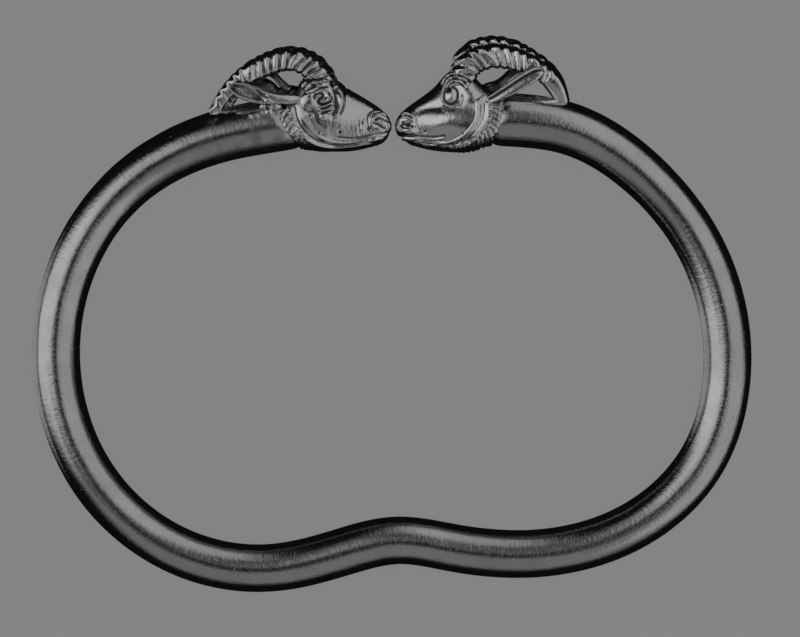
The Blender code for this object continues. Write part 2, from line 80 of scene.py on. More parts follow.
# Each head is drawn from the side in hundredths of its length: forward to the nose, up, and out to the side.
# Both heads have the same keys, which are explained in the first.
LEFT = {
    "name": "left_head",
    "facing": 1,  # 1 where the nose points to +X, and -1 where it points to -X
    "height": 0.4905,  # of the throat, as a share of the height of the bar's route
    "seam": (-9, -0.7),  # the middle of the joint with the bar
    "seam_slant": math.radians(27),
    # A rib joins the top line to the bottom line, and its last number is the head's half depth there.
    "ribs": [
        (-9, 24, 14, -27, 25),
        (3, 33, 22, -28, 24.5),
        (12, 45, 30, -29, 24),
        (27, 48, 38, -29, 23.5),
        (43, 45, 48, -29, 22),
        (55, 36, 58, -28.5, 19.5),
        (68, 28, 68, -27, 17.5),
        (81, 20, 80, -24, 15.5),
        (91, 12.5, 91, -20, 13),
        (98, 4, 97, -12, 8),
        (99.8, -1, 99.6, -6, 3),
    ],
    # Horns, ears and struts: forward, up, side and half width
    "horn": [
        (42, 26, 8, 8),
        (32, 43.5, 11.5, 13),
        (23.5, 53.5, 13, 14),
        (12, 61, 13, 13.5),
        (-4, 64, 13, 13),
        (-22, 59.5, 12.5, 12.5),
        (-38, 52, 11.5, 11.5),
        (-52, 43, 10, 9.5),
        (-67, 28, 8.5, 7.5),
        (-79, 9, 5, 6),
    ],
    "far_rise": 2,  # how much higher the far horn's bow stands
    "far_reach": 10,  # and how much further forward its foot
    "band": -0.46,  # where the steep outer band begins, from 1 on the inner edge to -1 on the outer one
    "beads_from": 0.62,  # the share of the horn from which that band is notched into beads; 2 means never
    "tail_from": 2,  # the share of the horn from which it is smooth; 2 means never
    "lean": 0.3,  # how much the ridges slant
    "ear": [
        (8, 22, 17, 5),
        (-2, 22.5, 19, 5.2),
        (-12, 23, 20.5, 5),
        (-30, 25, 22, 7),
        (-44, 29.5, 22, 8.5),
        (-53, 33, 21, 7.5),
        (-60, 36, 19, 3),
    ],
    "blade_from": (0.44, 0.56),  # the shares of the ear between which its stalk opens into the blade
    "far_ear": [
        (8, 28, 17, 9),
        (0, 30, 19, 9),
        (-8, 31.5, 20.5, 7.5),
        (-15, 31.5, 21.5, 5.5),
        (-22, 36, 22, 7),
        (-30, 39, 22, 8),
        (-38, 42, 22, 7.5),
        (-48, 45, 21, 5),
        (-56, 46, 19, 2.5),
    ],
    "strut": [(-2, 33, -15, 4.5), (-11, 41, -15, 3.9), (-18, 48.5, -14, 3.8), (-24, 54, -13, 4.5)],
    "ruff": [(-10, 14.6), (-2, -0.5), (5, -13.5), (11, -19), (20, -24.5)],
    "ruff_half": 5.6,  # half its width
    "ruff_pitch": 5.6,  # from one tuft to the next
    # Strokes of the chasing: half width, height (below zero for a groove), and the line
    "strokes": [
        (1.3, 1.5, [
            (6.9, 20.5), (9.5, 12), (13.3, 3.9), (22.2, -10.1), (35, -17.8), (54, -20.3), (70, -19.5),
            (86, -16.5),
        ]),
        (1.3, 0.9, [(-0.8, 14), (4.3, -1.2), (13.3, -15.2), (26, -22.9), (47.7, -24.8), (79.6, -20.3)]),
        (1.5, -1.3, [(3, 17), (7, 2), (17, -13), (30, -20.6), (52, -22.6), (78, -18.6)]),
        (1.2, 1.5, [(16.3, 26.6), (22.7, 29)]),
        (1.2, 1.6, [(16.3, 29.8), (22, 31.9), (29.1, 35.8), (36.6, 36.9)]),
        (1.2, 1.6, [(14.1, 34.1), (21.3, 39.4), (29.1, 40.1), (35.5, 42.6)]),
        (1.1, 1.4, [(9.8, 36.2), (15.5, 41.6)]),
        (1.1, 1.4, [(23.4, 42.6), (27.7, 44.6), (32, 46)]),
        (1.1, 1.4, [(28.1, 32.2), (36.6, 33.4)]),
        (1.1, -1.5, [(16, 28.2), (22, 30.4), (27.4, 33.4)]),
        (1.1, -1.4, [(27, 34.2), (36, 35.1)]),
        (1.1, -1.5, [(14.5, 32), (21.6, 35.6), (29, 38), (36, 39.8)]),
        (1.0, -1.3, [(20, 41), (26, 42.2), (34, 44)]),
        (1.0, -1.3, [(11, 33.6), (17.4, 40.4)]),
        (1.3, -2.2, [
            (22.3, 23.3), (24.5, 27.6), (28.4, 29.4), (31.3, 28), (30.9, 25.5), (27.7, 22.6),
            (27, 20.1), (29.1, 18), (33, 17.6), (37.7, 20.1), (40.5, 23.7), (40.5, 28),
        ]),
        (1.7, 1.6, [(28, 26.4), (25, 22.4)]),
        (1.8, 1.9, [(33.4, 29.8), (36.2, 26.2), (34.8, 22), (31.3, 20.4)]),
        (1.1, 1.4, [(28.4, 15.1), (32, 15.8), (35.5, 17.3), (39.8, 19.4)]),
        (1.1, 1.5, [(29.8, 11.5), (34.1, 12.1), (37.7, 13.6), (42, 16.4)]),
        (1.0, -1.5, [(28, 13.5), (32, 13.8), (36.3, 15.3), (40.9, 18)]),
        (1.1, -1.5, [(29, 9), (35.5, 10.4), (41, 13.6)]),
        (2.0, -2.4, [(35, 45), (42, 38.6), (44.4, 27), (45.2, 14), (41, 5)]),
        (3.2, -1.6, [(17, 9), (22, -3), (30, -12)]),
        (1.3, 1.8, [(44.1, 38.7), (46.3, 34.4), (51, 28), (50.4, 20)]),
        (1.5, -1.5, [(54.8, 37), (52.8, 28), (51.6, 19), (47.6, 8)]),
        (1.1, -1.4, [(45.2, -15.2), (60, -16), (71, -14.6), (80.7, -12.3), (92.4, -11.1), (98.3, -9.2)]),
        (0.9, -0.8, [(57.4, -22), (69.1, -19.3), (74.9, -17.7), (80.7, -15), (90.5, -14.2)]),
        (1.3, -1.3, [(79.2, 11.9), (76.1, 6.4), (76.1, 1), (77.2, -6.8)]),
        (1.1, 1.2, [(82.3, 11.9), (78.9, 6.4), (78.6, 1.7), (80.7, -1.4)]),
        (0.9, -1.2, [(80.4, 4.9), (80.7, 7.2), (84.6, 9.9), (90.9, 11.1)]),
        (1.0, 1.3, [(82.3, 4.9), (85.4, 7.6), (91.6, 9.5), (94.8, 6.4)]),
        (1.2, -2.2, [(82.3, 1.4), (88.5, 4.9), (93.2, 3.3), (97.9, 1.7)]),
        (1.0, 1.0, [(88.5, 3), (93.2, 0.4), (97.9, -0.8)]),
        (1.3, -2.2, [(81.5, 0.2), (87, -1.6), (91.6, -4.3), (95.5, -5.6)]),
        (1.2, -1.1, [(66.7, 1), (67.9, -5.3), (68.3, -12.3)]),
        (1.2, -1.1, [(72.2, 3.3), (68.7, -1.4)]),
        (1.0, 0.8, [(70.6, -4.1), (71, -8.8)]),
        (1.0, -1.3, [(-15, 19.5), (-24, 24), (-36, 32)]),
        (1.0, -1.0, [(-36, 32), (-46, 38), (-56, 40)]),
    ],
    # Low lumps and hollows: forward, up, half length, half height, and how far out, or in below zero
    "lumps": [
        (17, 24, 8, 9, 3),
        (49, 42, 8, 11, -6.5),
        (46, 22, 5, 9, -2.2),
        (40.2, 10.8, 3, 2.5, 1.3),
        (32, 5.5, 3.2, 2.5, 1.2),
        (30.5, 21.6, 2, 2, 0.9),
        (90, -6.8, 5, 3, 1.0),
        (76.9, -6.8, 2, 2, -1.5),
        (48.3, -10.1, 1.7, 1.7, -1.8),
        (71.8, -22.4, 1.2, 1.2, -1.0),
        (-24, 14.3, 1.8, 1.8, -3.5),
    ],
    "curls": [(9.9, 42.5), (14.7, 46)],  # the middles of the small rings behind the brow
    # Drops of solder behind the ear: forward, up, side, and half length, height and depth
    "solder": [(-27.5, 15.6, 18.5, 5, 3.6, 4), (-17, 15.6, 19, 8, 4, 4), (-22.5, 10.4, 21.5, 4.5, 6, 3.6)],
}
RIGHT = {
    "name": "right_head",
    "facing": -1,
    "height": 0.501,
    "seam": (-5.5, -0.9),
    "seam_slant": math.radians(12),
    "ribs": [
        (-2, 26, 11, -29, 26),
        (9, 31, 20, -31, 25.6),
        (20, 42, 29, -33, 24.4),
        (33, 51, 38, -34, 22.8),
        (47, 46, 48, -34, 20.8),
        (59, 33, 58, -33, 18.8),
        (71, 23, 69, -31, 16.8),
        (83, 14.5, 80, -28, 15),
        (92.5, 6.7, 90, -23.5, 13),
        (98, -1, 96.5, -17.5, 8),
        (99.8, -7, 99.6, -12, 3),
    ],
    "horn": [
        (33, 30, 9, 10),
        (31, 44, 12, 14),
        (24, 54, 13, 14),
        (14, 59.5, 13, 13.5),
        (-4, 62, 13, 13),
        (-21, 58.5, 12.5, 12.5),
        (-36, 52.5, 11, 11),
        (-51, 43.5, 9.5, 10.4),
        (-62, 30, 8, 9.8),
        (-69, 14.5, 6, 6.8),
    ],
    "far_rise": 10,
    "far_reach": 0,
    "band": -0.6,
    "beads_from": 2,
    "tail_from": 0.74,
    "lean": 0.5,
    "ear": [
        (10, 15, 17, 4),
        (0, 20, 20, 4.5),
        (-14, 28, 22, 6.5),
        (-30, 38, 22, 7.5),
        (-40, 43.5, 21, 6.5),
        (-48, 47, 19, 2.5),
    ],
    "blade_from": (0.02, 0.14),
    "far_ear": [
        (12, 17, 15, 12),
        (2, 27, 18, 12),
        (-3, 31.3, 20, 8.8),
        (-8, 35.5, 21, 6.8),
        (-17.5, 44.2, 22, 6.5),
        (-30, 52, 21.5, 6),
        (-42, 56.5, 19, 3),
    ],
    "strut": [],
    "ruff": [(-1, 14), (0, -0.5), (3, -12), (10, -19.5), (20, -25.5), (36, -30.5), (50, -32)],
    "ruff_half": 5.4,
    "ruff_pitch": 5,
    "strokes": [
        (1.2, 1.5, [
            (12.2, 20.8), (17.3, 14.4), (17.3, 4.2), (22.4, -8.5), (32.6, -18.7), (44, -23.8), (64, -27),
        ]),
        (1.2, 0.8, [(7.1, 16), (7.1, -0.9), (14.7, -14.9), (24.9, -25.1), (40.2, -30.2)]),
        (1.5, -1.2, [(10.5, 15), (11.5, 1), (18.5, -12.5), (28.5, -22), (44, -27.4)]),
        (1.2, 1.3, [(53, 33.5), (50.4, 39.9), (42.8, 43.8), (32.6, 42.5), (22.4, 37.4)]),
        (1.0, 1.1, [(50.4, 31), (46.6, 38.7), (40.2, 40.6), (31.3, 38.7), (25, 32.3)]),
        (1.0, 1.1, [(49.1, 29.7), (44, 36.1), (36.4, 36.1), (28.7, 31)]),
        (1.0, 1.0, [(47.9, 28.5), (42.8, 32.9), (35.1, 32.3), (30.7, 27.8)]),
        (0.9, -1.2, [(52, 32), (48.8, 39.4), (41.6, 42.3), (32, 40.7), (23.6, 35)]),
        (0.9, -1.2, [(49.8, 30.4), (45.2, 37.6), (38.4, 38.4), (30, 35)]),
        (0.9, -1.1, [(48.5, 29.1), (43.4, 34.5), (35.8, 34.2), (29.6, 29.4)]),
        (1.2, -1.8, [
            (44.4, 31.6), (38.8, 28.6), (37.2, 22.7), (38.8, 16.6), (44.4, 13.9), (50, 16.6), (51.6, 22.7),
            (50, 28.6), (44.4, 31.6),
        ]),
        (1.1, 1.0, [(52.5, 15), (47, 11.2), (40.5, 11.6), (34.6, 15.6), (33.2, 22)]),
        (1.0, -0.9, [(52, 11.8), (45, 8.6), (38, 9.4)]),
        (4, -0.9, [(52, 11), (62, 10.6), (74, 7.4), (80, 4)]),
        (1.0, 1.2, [(92.5, 4.6), (86.1, 4.6), (81, 0)]),
        (1.0, 1.2, [(94.4, -0.6), (88.7, 0.7), (83, -2)]),
        (0.8, -1.2, [(93.4, 2), (87.4, 2.6), (82, -1)]),
        (2.4, -2.6, [(95, -5.8), (89, -5.8), (83, -6.4)]),
        (1.2, -1.5, [(96.3, -18.7), (87.4, -19.2), (74.7, -18.7), (61.9, -20), (50.4, -18.7)]),
        (1.0, 0.4, [(97, -21), (88, -21.6), (78, -21.4)]),
        (1.0, -1.0, [(91.2, -22.6), (81, -26.4), (73.4, -27.7)]),
        (0.9, 0.8, [(89, -25), (80, -28)]),
        (0.8, -0.9, [(72, -22), (62, -23.4), (50, -22.6)]),
        (0.8, -0.9, [(72, -25), (60, -26.4), (48, -25.8)]),
        (1.2, -1.0, [(78, 2), (77, -7), (74, -14)]),
    ],
    "lumps": [
        (44.4, 22.7, 4.2, 6, 2.4),
        (43, -7, 24, 14, 4.4),
        (47, 46, 8, 7, -3.5),
        (87, -13.4, 8, 4.4, 4),
        (24, 24, 8, 8, 1.2),
        (70, -14, 1.8, 1.8, -1.2),
        (32.2, -16, 1.2, 1.2, -1.0),
    ],
    "curls": [],
    "solder": [],
}


def smooth(rows, count):
    """Rows read at even steps from a natural cubic spline through the given ones."""
    knots = np.array(rows, float)
    steps = np.linalg.norm(np.diff(knots, axis=0), axis=1)
    at = np.concatenate([[0], np.cumsum(steps)])
    slopes = np.diff(knots, axis=0) / steps[:, None]
    matrix = np.eye(len(knots))
    bends = np.zeros_like(knots)
    for i in range(1, len(knots) - 1):
        matrix[i, i - 1 : i + 2] = steps[i - 1], 2 * (steps[i - 1] + steps[i]), steps[i]
        bends[i] = 6 * (slopes[i] - slopes[i - 1])
    bends = np.linalg.solve(matrix, bends)
    places = np.linspace(0, at[-1], count)
    span = np.clip(np.searchsorted(at, places, side="right") - 1, 0, len(steps) - 1)
    width = steps[span][:, None]
    after = (places - at[span])[:, None] / width
    before = 1 - after
    line = before * knots[span] + after * knots[span + 1]
    bow = (before**3 - before) * bends[span] + (after**3 - after) * bends[span + 1]
    return line + bow * width**2 / 6


def length_of(rows):
    return float(np.linalg.norm(np.diff(np.array(rows, float)[:, :2], axis=0), axis=1).sum())


def step_between(low, high, value):
    """0 below the low value, 1 above the high one, and a soft slope between."""
    share = np.clip((value - low) / (high - low), 0, 1)
    return share * share * (3 - 2 * share)


def ellipse(sides):
    angles = [2 * math.pi * i / sides for i in range(sides)]
    return [(math.cos(angle), math.sin(angle)) for angle in angles]


def pick(obj):
    bpy.ops.object.select_all(action="DESELECT")
    obj.select_set(True)
    bpy.context.view_layer.objects.active = obj


def draw_out(name, rings):
    """A closed skin: a disc whose face is extruded once for each further ring, and laid on that ring."""
    bpy.ops.object.select_all(action="DESELECT")
    bpy.ops.mesh.primitive_circle_add(vertices=len(rings[0]), radius=1, fill_type="NGON")
    obj = bpy.context.object
    obj.name = name
    for vertex, point in zip(obj.data.vertices, rings[0]):
        vertex.co = point
    bpy.ops.object.mode_set(mode="EDIT")
    finder = kdtree.KDTree(len(rings[0]))
    for number, ring in enumerate(rings[1:]):
        for i, point in enumerate(rings[number]):
            finder.insert(point, i)
        finder.balance()
        bpy.ops.mesh.extrude_region_move()
        mesh = bmesh.from_edit_mesh(obj.data)
        for vertex in mesh.verts:
            if vertex.select:
                vertex.co = ring[finder.find(vertex.co)[1]]
        bmesh.update_edit_mesh(obj.data)
        finder = kdtree.KDTree(len(rings[0]))
    bpy.ops.mesh.select_all(action="SELECT")
    bpy.ops.mesh.normals_make_consistent(inside=False)
    bpy.ops.object.mode_set(mode="OBJECT")
    return obj


def finish_with(obj, kind, **settings):
    """Adds a modifier and applies it."""
    pick(obj)
    modifier = obj.modifiers.new(kind.lower(), kind)
    for key, value in settings.items():
        setattr(modifier, key, value)
    bpy.ops.object.modifier_apply(modifier=modifier.name)
    return obj


def places_of(obj):
    points = np.empty(len(obj.data.vertices) * 3)
    obj.data.vertices.foreach_get("co", points)
    return points.reshape(-1, 3)


def normals_of(obj):
    normals = np.empty(len(obj.data.vertices) * 3)
    obj.data.vertices.foreach_get("normal", normals)
    return normals.reshape(-1, 3)


def move_to(obj, points):
    obj.data.vertices.foreach_set("co", points.ravel())
    obj.data.update()


def keep_value(obj, name, values):
    """Stores one number for each vertex, for the material to read."""
    layer = obj.data.attributes.new(name, "FLOAT", "POINT")
    layer.data.foreach_set("value", np.asarray(values, np.float32))


def smoothed(obj, points, rounds):
    """Each point pulled to the middle of its neighbours, this many times."""
    edges = np.empty(len(obj.data.edges) * 2, np.int64)
    obj.data.edges.foreach_get("vertices", edges)
    near, far = edges.reshape(-1, 2).T
    count = np.bincount(near, minlength=len(points)) + np.bincount(far, minlength=len(points))
    for _ in range(rounds):
        total = np.empty_like(points)
        for axis in range(3):
            values = points[:, axis]
            total[:, axis] = np.bincount(near, values[far], len(points))
            total[:, axis] += np.bincount(far, values[near], len(points))
        points = total / count[:, None]
    return points


def depth_below(obj, rounds):
    """How far each vertex lies below the surface smoothed round it: above zero in a hollow."""
    points = places_of(obj)
    return ((smoothed(obj, points, rounds) - points) * normals_of(obj)).sum(axis=1)


def cloud(points, size, seed):
    """Soft noise from -1 to 1 over the points, with lumps about this big."""
    shift = Vector((seed * 7.13, seed * 3.71, seed * 5.39))
    return np.array([noise.noise(Vector(point) / size + shift) for point in points])


# The bar

ROUTE_POINTS = 900  # how finely the route is read where a place along it is looked up
BAR_SIDES = 12
BAR_STEPS = 118
SLANT_LENGTH = 0.004  # the stretch over which the bar's rings lean into the seam
HIDDEN_LENGTH = 0.0006  # how far the bar's end reaches into the head
HIDDEN_SHARE = 0.75  # how wide it is in there, as a share of its width outside
HOOP_INSET = 0.00005  # how far the skin is let in, so that its lumps stay inside the solid's box
HAMMER_MARKS = 420
NECK_TARNISH = 0.013  # how far along the bar the left neck's patches of tarnish reach
# Spots of solder on the left neck: x and y in metres, and how far each reaches and stands out
SOLDER_SPOTS = [
    (-0.0164, 0.0233, 0.0005, 0.00012),
    (-0.0156, 0.0234, 0.0005, 0.00012),
    (-0.0211, 0.0228, 0.0005, 0.0001),
    (-0.0228, 0.0224, 0.0004, 0.00008),
]


def route_middle():
    """How far the horns raise the middle of the whole bracelet above the middle of the bar's route."""
    horn_top = (max(up + half for _, up, _, half in RIGHT["horn"]) + RIGHT["far_rise"]) * HUNDREDTH
    top = RIGHT["height"] * ROUTE_HIGH + horn_top
    bottom = -ROUTE_HIGH / 2 - BAR_DIAMETER / 2
    return (top + bottom) / 2


def throat(head):
    """The zero point of a head's side view, in metres."""
    x = -head["facing"] * (HEAD_LENGTH + NOSE_GAP / 2)
    return Vector((x, head["height"] * ROUTE_HIGH - route_middle(), NECK_DIAMETER / 2))


def seam_place(head):
    """The middle of the seam, in metres."""
    forward, up = head["seam"]
    return throat(head) + Vector((head["facing"] * forward, up, 0)) * HUNDREDTH


def bar_route(count):
    """The bar's centre line: x, y, half the bar's thickness there, which is also z, and the length so far."""
    shift = route_middle()
    inner = [(x * ROUTE_WIDE, y * ROUTE_HIGH - shift) for x, y in ROUTE]
    points = smooth([seam_place(LEFT)[:2], *inner, seam_place(RIGHT)[:2]], count)
    travelled = np.concatenate([[0], np.cumsum(np.linalg.norm(np.diff(points, axis=0), axis=1))])
    to_end = np.minimum(travelled, travelled[-1] - travelled)
    half = NECK_DIAMETER / 2 + (BAR_DIAMETER - NECK_DIAMETER) / 2 * step_between(0, SWELL_LENGTH, to_end)
    return np.column_stack([points, half, travelled])


def bar_rings():
    """Rings round the bar. Those near a seam lean with it, and the last is hidden inside the head."""
    route = bar_route(BAR_STEPS + 1)
    along = np.gradient(route[:, :2], axis=0)
    along /= np.linalg.norm(along, axis=1)[:, None]
    travelled = route[:, 3]
    # A subdivided ring lies inside its cage by this share.
    cage = 6 / (4 + 2 * math.cos(2 * math.pi / BAR_SIDES))
    rings = []
    for (x, y, half, at), (ahead_x, ahead_y) in zip(route, along):
        from_left = 1 - min(1, at / SLANT_LENGTH)
        from_right = 1 - min(1, (travelled[-1] - at) / SLANT_LENGTH)
        lean = from_right * math.tan(RIGHT["seam_slant"]) - from_left * math.tan(LEFT["seam_slant"])
        ahead = Vector((ahead_x, ahead_y, 0))
        across = Vector((-ahead_y, ahead_x, 0))
        centre = Vector((x, y, half))
        ring = []
        for p, q in ellipse(BAR_SIDES):
            spread = half * cage * p
            ring.append(centre + across * spread + ahead * spread * lean + Vector((0, 0, half * cage * q)))
        rings.append(ring)
    first = sum(rings[0], Vector()) / BAR_SIDES
    last = sum(rings[-1], Vector()) / BAR_SIDES
    back = Vector((*along[0], 0)) * HIDDEN_LENGTH
    on = Vector((*along[-1], 0)) * HIDDEN_LENGTH
    inside_left = [first + (p - first) * HIDDEN_SHARE - back for p in rings[0]]
    inside_right = [last + (p - last) * HIDDEN_SHARE + on for p in rings[-1]]
    return [inside_left, *rings, inside_right]


def worked_skin(points, straight):
    """How far each point of the bar stands out: its waves, the hammer's dents and the spots of solder."""
    # The bar isn't quite true: it waves by 20 microns over 9 mm, and by 10 microns over 3.5 mm or less.
    height = 0.00002 * cloud(straight, 0.009, 1) + 0.00001 * cloud(straight * [1, 2, 2], 0.0035, 2)
    draw = np.random.default_rng(11)
    finder = kdtree.KDTree(len(points))
    for i, point in enumerate(points):
        finder.insert(point, i)
    finder.balance()
    for _ in range(HAMMER_MARKS):
        middle = points[draw.integers(len(points))]
        size = draw.uniform(0.0006, 0.0016)
        deep = draw.uniform(0.000003, 0.000012)
        for _, i, gap in finder.find_range(middle, size * 2):
            height[i] -= deep * math.exp(-((gap / size) ** 2) * 2)
    for x, y, reach, rise in SOLDER_SPOTS:
        gap = np.hypot(points[:, 0] - x, points[:, 1] - y) / reach
        height += rise * np.exp(-(gap**4)) * (points[:, 2] > NECK_DIAMETER / 2)
    return height


def make_hoop(finish):
    """The bent bar with its worked skin, and the places of the left neck's tarnish kept on it."""
    hoop = draw_out("silver_hoop", bar_rings())
    finish_with(hoop, "SUBSURF", levels=3, render_levels=3)
    points = places_of(hoop)
    route = bar_route(ROUTE_POINTS)
    line = kdtree.KDTree(len(route))
    for i, (x, y, half, _) in enumerate(route):
        line.insert((x, y, half), i)
    line.balance()
    nearest = np.array([line.find(point)[1] for point in points])
    centre = np.column_stack([route[nearest, :2], route[nearest, 2]])
    out = points - centre
    out /= np.linalg.norm(out, axis=1)[:, None]
    ahead = np.gradient(route[:, :2], axis=0)
    ahead /= np.linalg.norm(ahead, axis=1)[:, None]
    ahead = ahead[nearest]
    across = (points[:, 1] - centre[:, 1]) * ahead[:, 0] - (points[:, 0] - centre[:, 0]) * ahead[:, 1]
    # The bar as if it were straight: the way along it, across it and up, for the marks and the material
    straight = np.column_stack([route[nearest, 3], across, points[:, 2] - centre[:, 2]])
    move_to(hoop, points + out * (worked_skin(points, straight) - HOOP_INSET)[:, None])
    layer = hoop.data.attributes.new("straight", "FLOAT_VECTOR", "POINT")
    layer.data.foreach_set("vector", straight.astype(np.float32).ravel())
    neck = np.exp(-(straight[:, 0] / NECK_TARNISH) ** 2)
    patches = 0.35 + 0.8 * cloud(straight, 0.0016, 3) + 0.4 * cloud(straight, 0.0006, 4)
    keep_value(hoop, "hollow", neck * patches)
    dress(hoop, finish, "hoop")


# The heads

# Turns round an ear, as shares of its half width and half thickness: the hollow blade, the folded blade and
# the round stalk. All three go on round the same back.
EAR_BACK = [(-1, 0.2), (-1, -0.4), (-0.6, -1), (0, -1.1), (0.6, -1), (1, -0.4)]
LEAF_SECTION = [
    (1, 0.2), (0.94, 0.85), (0.82, 0.98), (0.64, 0.6), (0.42, 0), (0.15, -0.2), (-0.1, -0.25), (-0.38, -0.05),
    (-0.62, 0.55), (-0.82, 0.98), (-0.94, 0.85), *EAR_BACK,
]
FOLD_SECTION = [
    (1, 0.2), (0.97, 0.7), (0.87, 1.05), (0.7, 1.13), (0.3, 1), (-0.1, 0.86), (-0.28, 0.1), (-0.4, 0),
    (-0.48, 0.66), (-0.72, 0.86), (-0.92, 1), *EAR_BACK,
]
DOME_SECTION = [
    (1, 0.2), (0.94, 0.5), (0.82, 0.72), (0.64, 0.88), (0.42, 0.98), (0.15, 1.04), (-0.1, 1.04), (-0.38, 1),
    (-0.62, 0.9), (-0.82, 0.72), (-0.94, 0.5), *EAR_BACK,
]
CORE_RINGS = 40
CORE_SIDES = 24
LINE_POINTS = 160  # how finely the line of a stroke is read
RIDGE_STEPS = 12  # rings of the mesh for each ridge of a horn
RIDGE_DEPTH = 0.32  # how deep the valleys between the ridges are, as a share of the horn's half depth
EAR_RINGS = 34
STRUT_RINGS = 14
CURL_RADIUS = 2.1  # in hundredths of the head, as are the other lengths below
CAST_GRAIN = 0.55  # the cell of the casting's skin
HEAD_TRIANGLES = 198000
CROWN = 24  # above this height from the middle plane the relief is pressed flatter,
CEILING = 27.2  # and here it ends, so that the head stays as deep as its solid
FILLET = 0.7  # how far the casting's skin may stand off the forms
# Rays for the heads' painted shade: they measure how much of the space before each vertex the head itself
# hides.
SHELTER_RAYS = 8
SHELTER_REACH = 60  # how far away a form may be and still shelter a hollow


def sweep_rings(path, halves, sections):
    """Rings square to a path. Each section's pairs are shares of the half width and the half depth there."""
    rings = []
    for i, point in enumerate(path):
        ahead = path[min(i + 1, len(path) - 1)]
        behind = path[max(i - 1, 0)]
        along = (ahead - behind).normalized()
        across = Vector((0, 0, 1)).cross(along).normalized()
        out = along.cross(across)
        wide, deep = halves[i]
        rings.append([point + across * p * wide + out * q * deep for p, q in sections[i]])
    return rings


def boxed(pair, power):
    """A point of the unit circle moved out towards the square round it."""
    return [math.copysign(abs(value) ** (2 / power), value) for value in pair]


def core_rings(head):
    """Rings of the head's own form, from the seam to the nose."""
    route = bar_route(ROUTE_POINTS)
    ends = (route[0], route[1]) if head["facing"] > 0 else (route[-1], route[-2])
    step = ends[0] - ends[1]
    slant = head["seam_slant"] + math.atan2(step[1], abs(step[0]))
    normal = Vector((math.cos(slant), math.sin(slant), 0))
    rib = Vector((-normal.y, normal.x, 0))
    neck = NECK_DIAMETER / 2 / HUNDREDTH
    seam = Vector((*head["seam"], 0))
    reach = neck / math.cos(head["seam_slant"])
    first = (*(seam + rib * reach)[:2], *(seam - rib * reach)[:2], neck)
    rings = []
    for top_f, top_u, low_f, low_u, half in smooth([first, *head["ribs"]], CORE_RINGS):
        middle = Vector(((top_f + low_f) / 2, (top_u + low_u) / 2, 0))
        rise = Vector(((top_f - low_f) / 2, (top_u - low_u) / 2, 0))
        # The jaw is squarer than an ellipse, and the muzzle nearly as round as one.
        power = 2 + 0.6 * step_between(-6, 14, middle.x) - 0.5 * step_between(24, 42, middle.x)
        pairs = [boxed(pair, power) for pair in ellipse(CORE_SIDES)]
        rings.append([middle + rise * p + Vector((0, 0, half * q)) for p, q in pairs])
    return rings


def near_line(flat, rows):
    """How points of the side view lie by a line: how far off, how far along, and which side, + to its left.

    The line's own length comes last.
    """
    line = smooth(rows, LINE_POINTS)
    travelled = np.concatenate([[0], np.cumsum(np.linalg.norm(np.diff(line, axis=0), axis=1))])
    gaps = ((flat[:, None, :] - line[None]) ** 2).sum(axis=2)
    nearest = gaps.argmin(axis=1)
    ahead = np.gradient(line, axis=0)[nearest]
    offset = flat - line[nearest]
    side = np.sign(ahead[:, 0] * offset[:, 1] - ahead[:, 1] * offset[:, 0])
    return np.sqrt(gaps.min(axis=1)), travelled[nearest], side, travelled[-1]


def cord_relief(flat, rows, width, height):
    """A raised round cord, or a groove where the height is below zero."""
    relief = np.zeros(len(flat))
    reach = width * 2.5 + 1
    low = np.min(rows, axis=0) - reach
    high = np.max(rows, axis=0) + reach
    near = np.flatnonzero(((flat > low) & (flat < high)).all(axis=1))
    if len(near):
        gap, at, _, whole = near_line(flat[near], rows)
        ends = 0.4 + 0.6 * step_between(0, 2.5, np.minimum(at, whole - at))
        relief[near] = height * ends * np.exp(-((gap / width) ** 2))
    return relief


def ruff_relief(flat, rows, width, height, pitch, lean):
    """A band of short strokes across a line, with a ragged edge."""
    gap, at, side, whole = near_line(flat, rows)
    ragged = 0.8 * np.sin(at * 1.9) + 0.6 * np.sin(at * 0.83 + 2)
    inside = 1 - step_between(width * 0.86, width * 1.08, gap + ragged)
    ends = step_between(0, pitch, at) * step_between(0, whole * 0.4, whole - at)
    stroke = np.abs(np.cos(math.pi * (at + side * gap * lean + ragged * 0.4) / pitch))
    return height * inside * ends * (0.3 + 0.7 * stroke**0.7)


def modelling(head, flat):
    """The low lumps and hollows, as a height over each point of the side view."""
    forward, up = flat.T
    height = np.zeros(len(flat))
    for middle_f, middle_u, long, high, rise in head["lumps"]:
        gap = ((forward - middle_f) / long) ** 2 + ((up - middle_u) / high) ** 2
        height += rise * np.exp(-(gap**1.5))
    return height


def chasing(head, flat):
    """The chased work, as a height over each point of the side view."""
    height = ruff_relief(flat, head["ruff"], head["ruff_half"], 2.6, head["ruff_pitch"], 0.35)
    for width, rise, rows in head["strokes"]:
        height += cord_relief(flat, rows, width, rise)
    for middle_f, middle_u in head["curls"]:
        turns = np.radians(np.arange(0, 361, 45))
        across = CURL_RADIUS * np.cos(turns)
        upward = CURL_RADIUS * np.sin(turns)
        ring = np.column_stack([middle_f + across, middle_u + upward])
        height += cord_relief(flat, ring, 0.9, 1.4)
    return height


def horn_section(inner, outer):
    """A turn round the horn: a nearly flat face from inner to outer, and a steep slope down to each edge."""
    half = [(1 - (1 - inner) * t, q) for t, q in ((0, 0), (0.12, 0.35), (0.4, 0.72), (0.75, 0.92))]
    half += [(inner + (outer - inner) * t, 1 - 0.06 * abs(2 * t - 1) ** 2) for t in (0, 0.25, 0.5, 0.75)]
    half += [(outer - (1 + outer) * t, 0.93 * (1 - t)) for t in (0, 0.2, 0.4, 0.6, 0.8, 1)]
    return half + [(p, -q) for p, q in half[-2:0:-1]]


